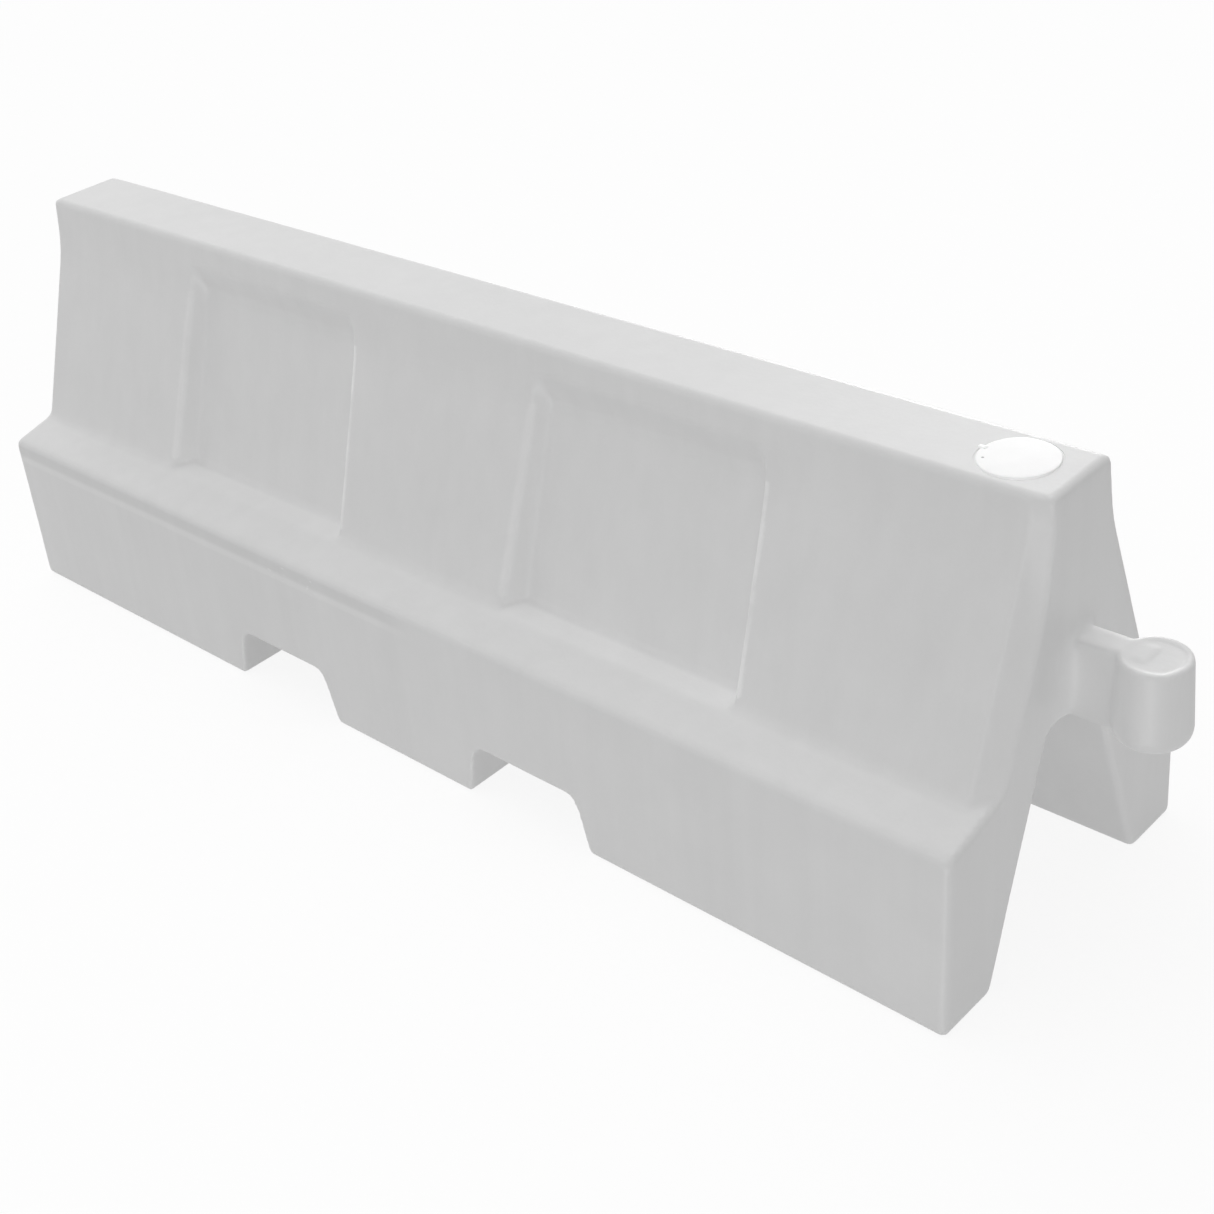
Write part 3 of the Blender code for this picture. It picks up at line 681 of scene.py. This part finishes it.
makeCap(cap)
sealHeights = (sealLow.z - fillerSpot.z, sealHigh.z - fillerSpot.z)
sealRadius = tank["wellRadius"] - seals["fillerGap"]
above = Matrix.Translation(fillerSpot)
fillerSeal = ring(seals, "fillerSeal", seals["fillerBore"], sealRadius, *sealHeights, above)
fitted(fillerSeal, "filler_cap", finishes["rubber"], ["filler_seal"])
print("filler cap and seal done")


# geometry node trees for the repeated grip ridges and the wound thread of the drain plugs

class Tree:
    def __init__(self, name, inputs):
        self.group = bpy.data.node_groups.new(name, "GeometryNodeTree")
        self.group.interface.new_socket(name="Geometry", in_out="OUTPUT", socket_type="NodeSocketGeometry")
        self.sockets = {}
        for key, kind in inputs.items():
            self.sockets[key] = self.group.interface.new_socket(name=key, in_out="INPUT", socket_type=kind)
        self.start = self.group.nodes.new("NodeGroupInput")
        self.end = self.group.nodes.new("NodeGroupOutput")

    def given(self, key):
        return self.start.outputs[key]

    def node(self, kind, settings=None, values=None, out=0):
        made = self.group.nodes.new(kind)
        for key, value in (settings or {}).items():
            setattr(made, key, value)
        for key, value in (values or {}).items():
            if isinstance(value, bpy.types.NodeSocket):
                self.group.links.new(value, made.inputs[key])
            else:
                made.inputs[key].default_value = value
        return made.outputs[out]

    def close(self, geometry, material):
        real = self.node("GeometryNodeRealizeInstances", None, {"Geometry": geometry})
        done = self.node("GeometryNodeSetMaterial", None, {"Geometry": real, "Material": material})
        self.group.links.new(done, self.end.inputs[0])

    def grown(self, name, values):
        thing = shown(name, bpy.data.meshes.new(name))
        change = thing.modifiers.new("grow", "NODES")
        change.node_group = self.group
        for key, value in values.items():
            change[self.sockets[key].identifier] = value
        return settled(thing)


def gripTree():
    inputs = {
        "Count": "NodeSocketInt",
        "Radius": "NodeSocketFloat",
        "Ridge Size": "NodeSocketVector",
        "Material": "NodeSocketMaterial",
    }
    tree = Tree("gripRidges", inputs)
    values = {"Vertices": tree.given("Count"), "Radius": tree.given("Radius")}
    circle = tree.node("GeometryNodeMeshCircle", None, values)
    points = tree.node("GeometryNodeMeshToPoints", None, {"Mesh": circle})
    spot = tree.node("GeometryNodeInputPosition")
    turn = tree.node("FunctionNodeAlignRotationToVector", {"axis": "X"}, {"Vector": spot})
    values = {"Size": tree.given("Ridge Size"), "Vertices X": 2, "Vertices Y": 3, "Vertices Z": 4}
    block = tree.node("GeometryNodeMeshCube", None, values)
    values = {"Points": points, "Instance": block, "Rotation": turn}
    tree.close(tree.node("GeometryNodeInstanceOnPoints", None, values), tree.given("Material"))
    return tree


def threadTree():
    inputs = {
        "Turns": "NodeSocketFloat",
        "Radius": "NodeSocketFloat",
        "Length": "NodeSocketFloat",
        "Ridge": "NodeSocketFloat",
        "Material": "NodeSocketMaterial",
    }
    tree = Tree("woundThread", inputs)
    values = {
        "Resolution": 48,
        "Rotations": tree.given("Turns"),
        "Start Radius": tree.given("Radius"),
        "End Radius": tree.given("Radius"),
        "Height": tree.given("Length"),
    }
    path = tree.node("GeometryNodeCurveSpiral", None, values)
    outline = tree.node("GeometryNodeCurvePrimitiveCircle", None, {"Resolution": 6, "Radius": tree.given("Ridge")})
    wound = tree.node("GeometryNodeCurveToMesh", None, {"Curve": path, "Profile Curve": outline, "Fill Caps": True})
    tree.close(wound, tree.given("Material"))
    return tree


# the drain plugs, their seals and bushes

plug = {
    "head": 0.0252,
    "headThickness": 0.007,
    "edge": 0.0015,
    "shank": 0.0172,
    "shankLength": 0.018,
    "shankWall": 0.0042,
    "barLength": 0.0435,
    "barWidth": 0.0098,
    "barHeight": 0.0108,
    "barEdge": 0.0022,
    "barSink": 0.002,
    "barDraft": (0.97, 0.82),
    "dish": 0.0012,
    "dishRim": (0.006, 0.005),
    "footEdge": 0.0006,
    "tip": 0.0015,
    "sealGap": 0.0003,
    "sharpAngle": 40.0,
    "ridges": 40,
    "ridgeSize": (0.0013, 0.0017, 0.0046),
    "ridgeAngle": 30.0,
    "threadPitch": 0.005,
    "threadRidge": 0.0008,
    "threadEnd": 0.002,
    "threadAngle": 50.0,
}


def makePlug(settings, side, gripRidges, woundThread):
    spot = drainSpots[side]
    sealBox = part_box(f"drain_seal_{side}")
    headLow = spot.x - sealBox[0].x + settings["sealGap"]  # rests on the seal
    along = outOf(spot)
    headHigh = headLow + settings["headThickness"]
    edge, head = settings["edge"], settings["head"]
    shank = settings["shank"]
    foot = headLow - settings["shankLength"]
    well = shank - settings["shankWall"]
    dish, (inside, outside) = headHigh - settings["dish"], settings["dishRim"]
    profile = [(0.0, dish), (head - inside, dish), (head - outside, headHigh)]
    profile += arcPoints((head - edge, headHigh - edge), edge, 90, 0)
    turn, tip = settings["footEdge"], settings["tip"]
    profile += arcPoints((head - turn, headLow + turn), turn, 0, -90, 3)
    profile += [(shank, headLow), (shank, foot + tip), (shank - tip, foot)]
    profile += [(well, foot), (well, headLow), (0.0, headLow)]
    made = shown(f"drainPlug{side.capitalize()}", turned("drainPlug", profile, Matrix.Identity(4)))
    bar = bmesh.new()
    bmesh.ops.create_cube(bar, size=1.0)
    height = settings["barHeight"] + settings["barSink"]
    size = (settings["barLength"], settings["barWidth"], height)
    bmesh.ops.transform(bar, matrix=Matrix.Diagonal((*size, 1.0)), verts=bar.verts)
    for corner in bar.verts:  # drafted sides
        if corner.co.z > 0:
            corner.co.x *= settings["barDraft"][0]
            corner.co.y *= settings["barDraft"][1]
    bmesh.ops.bevel(bar, geom=bar.edges, offset=settings["barEdge"], segments=4, profile=0.5, affect="EDGES")
    bmesh.ops.translate(bar, vec=(0.0, 0.0, headHigh - settings["barSink"] + height / 2), verts=bar.verts)
    cut(made, shown("plugBar", meshOf(bar, "plugBar")), "UNION")
    made.data.transform(along)
    smoothShaded(made.data, settings["sharpAngle"])
    fitted(made, f"drain_plug_{side}", finishes["plug"], [f"drain_plug_{side}"])
    values = {
        "Count": settings["ridges"],
        "Radius": head,
        "Ridge Size": settings["ridgeSize"],
        "Material": finishes["plug"],
    }
    grip = gripRidges.grown(f"plugGrip{side.capitalize()}", values)
    grip.data.transform(along @ Matrix.Translation((0.0, 0.0, (headLow + headHigh) / 2)))
    smoothShaded(grip.data, settings["ridgeAngle"])
    fitted(grip, f"drain_plug_{side}", finishes["plug"])
    length = settings["shankLength"] - 2 * settings["threadEnd"]
    values = {
        "Turns": length / settings["threadPitch"],
        "Radius": shank,
        "Length": length,
        "Ridge": settings["threadRidge"],
        "Material": finishes["plug"],
    }
    thread = woundThread.grown(f"plugThread{side.capitalize()}", values)
    thread.data.transform(along @ Matrix.Translation((0.0, 0.0, foot + settings["threadEnd"])))
    smoothShaded(thread.data, settings["threadAngle"])
    fitted(thread, f"drain_plug_{side}", finishes["plug"])


gripRidges, woundThread = gripTree(), threadTree()
for side, spot in drainSpots.items():
    makePlug(plug, side, gripRidges, woundThread)
    low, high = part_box(f"drain_seal_{side}")
    radius, heights = (high.z - low.z) / 2, (spot.x - high.x, spot.x - low.x)
    washer = ring(seals, f"drainSeal{side.capitalize()}", seals["drainBore"], radius, *heights, outOf(spot))
    fitted(washer, f"drain_seal_{side}", finishes["rubber"], [f"drain_seal_{side}"])
    bush = nodes[f"drain_bush_{side}"]
    bush.data.materials.clear()
    bush.data.materials.append(finishes["brass"])
print("drain plugs, seals and bushes done")


# floor, light and camera

studio = {
    "floorSize": 60.0,
    "floorDrop": 0.0004,
    "floorColour": 0.975,
    "floorBounce": 0.45,
    "floorWhite": 0.8,
    "glow": 0.075,
    "sky": 0.384,
}
lamps = {  # each a sun with the way towards it, and the fills throw no shadow
    "softbox": {"energy": 1.14, "angle": 100.0, "shadow": True, "toward": (-0.574, 0.0, 0.819)},
    "topFill": {"energy": 0.62, "angle": 10.0, "shadow": False, "toward": (-0.2, 0.5, 0.8)},
    "leftFill": {"energy": 0.268, "angle": 10.0, "shadow": False, "toward": (-0.6, -0.75, 0.25)},
    "endFill": {"energy": 0.567, "angle": 10.0, "shadow": False, "toward": (1.0, -0.1, 0.25)},
    "lowFill": {"energy": 0.644, "angle": 10.0, "shadow": False, "toward": (0.3, -0.8, -0.4)},
    "backFill": {"energy": 0.6, "angle": 10.0, "shadow": False, "toward": (-0.5, 0.85, 0.15)},
}


def seenRays(shade):
    # 1 for rays that look straight at the backdrop, in view or in a gloss
    path = shade.node("ShaderNodeLightPath").socket.node
    seen = Wire(shade, path.outputs["Is Camera Ray"])
    for key in ("Is Glossy Ray", "Is Transmission Ray"):
        seen = seen.sum("MAXIMUM", seen, Wire(shade, path.outputs[key]))
    return seen


def makeFloor(settings):
    half, drop = settings["floorSize"] / 2, -settings["floorDrop"]
    corners = [(-half, -half, drop), (half, -half, drop), (half, half, drop), (-half, half, drop)]
    mesh = bpy.data.meshes.new("floor")
    mesh.from_pydata(corners, [], [(0, 1, 2, 3)])
    finish = Finish("floorPaint", {})
    finish.tree.nodes.remove(finish.shader)
    glow = finish.node("ShaderNodeEmission", None, {"Color": grey(settings["glow"])})
    bounce = finish.node("ShaderNodeBsdfDiffuse", None, {"Color": grey(settings["floorBounce"])})
    matt = finish.node("ShaderNodeBsdfDiffuse", None, {"Color": grey(settings["floorColour"])})
    white = finish.node("ShaderNodeEmission", None, {"Color": grey(1.0)})
    plain = finish.node("ShaderNodeMixShader", None, {0: settings["floorWhite"], 1: matt, 2: white})
    lit = finish.node("ShaderNodeAddShader", None, {0: bounce, 1: glow})
    choice = finish.node("ShaderNodeMixShader", None, {0: seenRays(finish), 1: lit, 2: plain})
    finish.put(finish.tree.nodes["Material Output"].inputs["Surface"], choice)
    mesh.materials.append(finish.material)
    shown("floor", mesh)


def makeLight(settings, lamps):
    world = bpy.data.worlds.new("studio")
    bpy.context.scene.world = world
    world.use_nodes = True
    shade = Shade(world.node_tree)
    seen = seenRays(shade)
    back = world.node_tree.nodes["Background"]
    shade.put(back.inputs["Color"], grey(1.0))
    shade.put(back.inputs["Strength"], settings["sky"] + seen * (1.0 - settings["sky"]))
    for name, lamp in lamps.items():
        data = bpy.data.lights.new(name, "SUN")
        data.energy = lamp["energy"]
        data.angle = math.radians(lamp["angle"])
        data.use_shadow = lamp["shadow"]
        shown(name, data).rotation_euler = Vector(lamp["toward"]).to_track_quat("Z", "Y").to_euler()


view = {
    "place": (1.7504, -1.5409, 1.5971),
    "azimuth": 46.5990,
    "elevation": 32.1354,
    "roll": -7.0871,
    "lens": 56.09,
}


def makeCamera(settings):
    azimuth, elevation, roll = (math.radians(settings[key]) for key in ("azimuth", "elevation", "roll"))
    level = math.cos(elevation)
    back = Vector((math.sin(azimuth) * level, -math.cos(azimuth) * level, math.sin(elevation)))
    right = (-back).cross(Vector((0.0, 0.0, 1.0))).normalized()
    up = right.cross(-back)
    across = right * math.cos(roll) + up * math.sin(roll)
    upward = up * math.cos(roll) - right * math.sin(roll)
    data = bpy.data.cameras.new("camera")
    data.sensor_width = 36.0
    data.lens = settings["lens"]
    data.clip_end = 200.0
    camera = shown("camera", data)
    turn = Matrix((across, upward, back)).transposed().to_4x4()
    camera.matrix_world = Matrix.Translation(settings["place"]) @ turn
    bpy.context.scene.camera = camera


makeFloor(studio)
makeLight(studio, lamps)
makeCamera(view)
bpy.context.scene.view_settings.view_transform = "Standard"
print("floor, light and camera done")
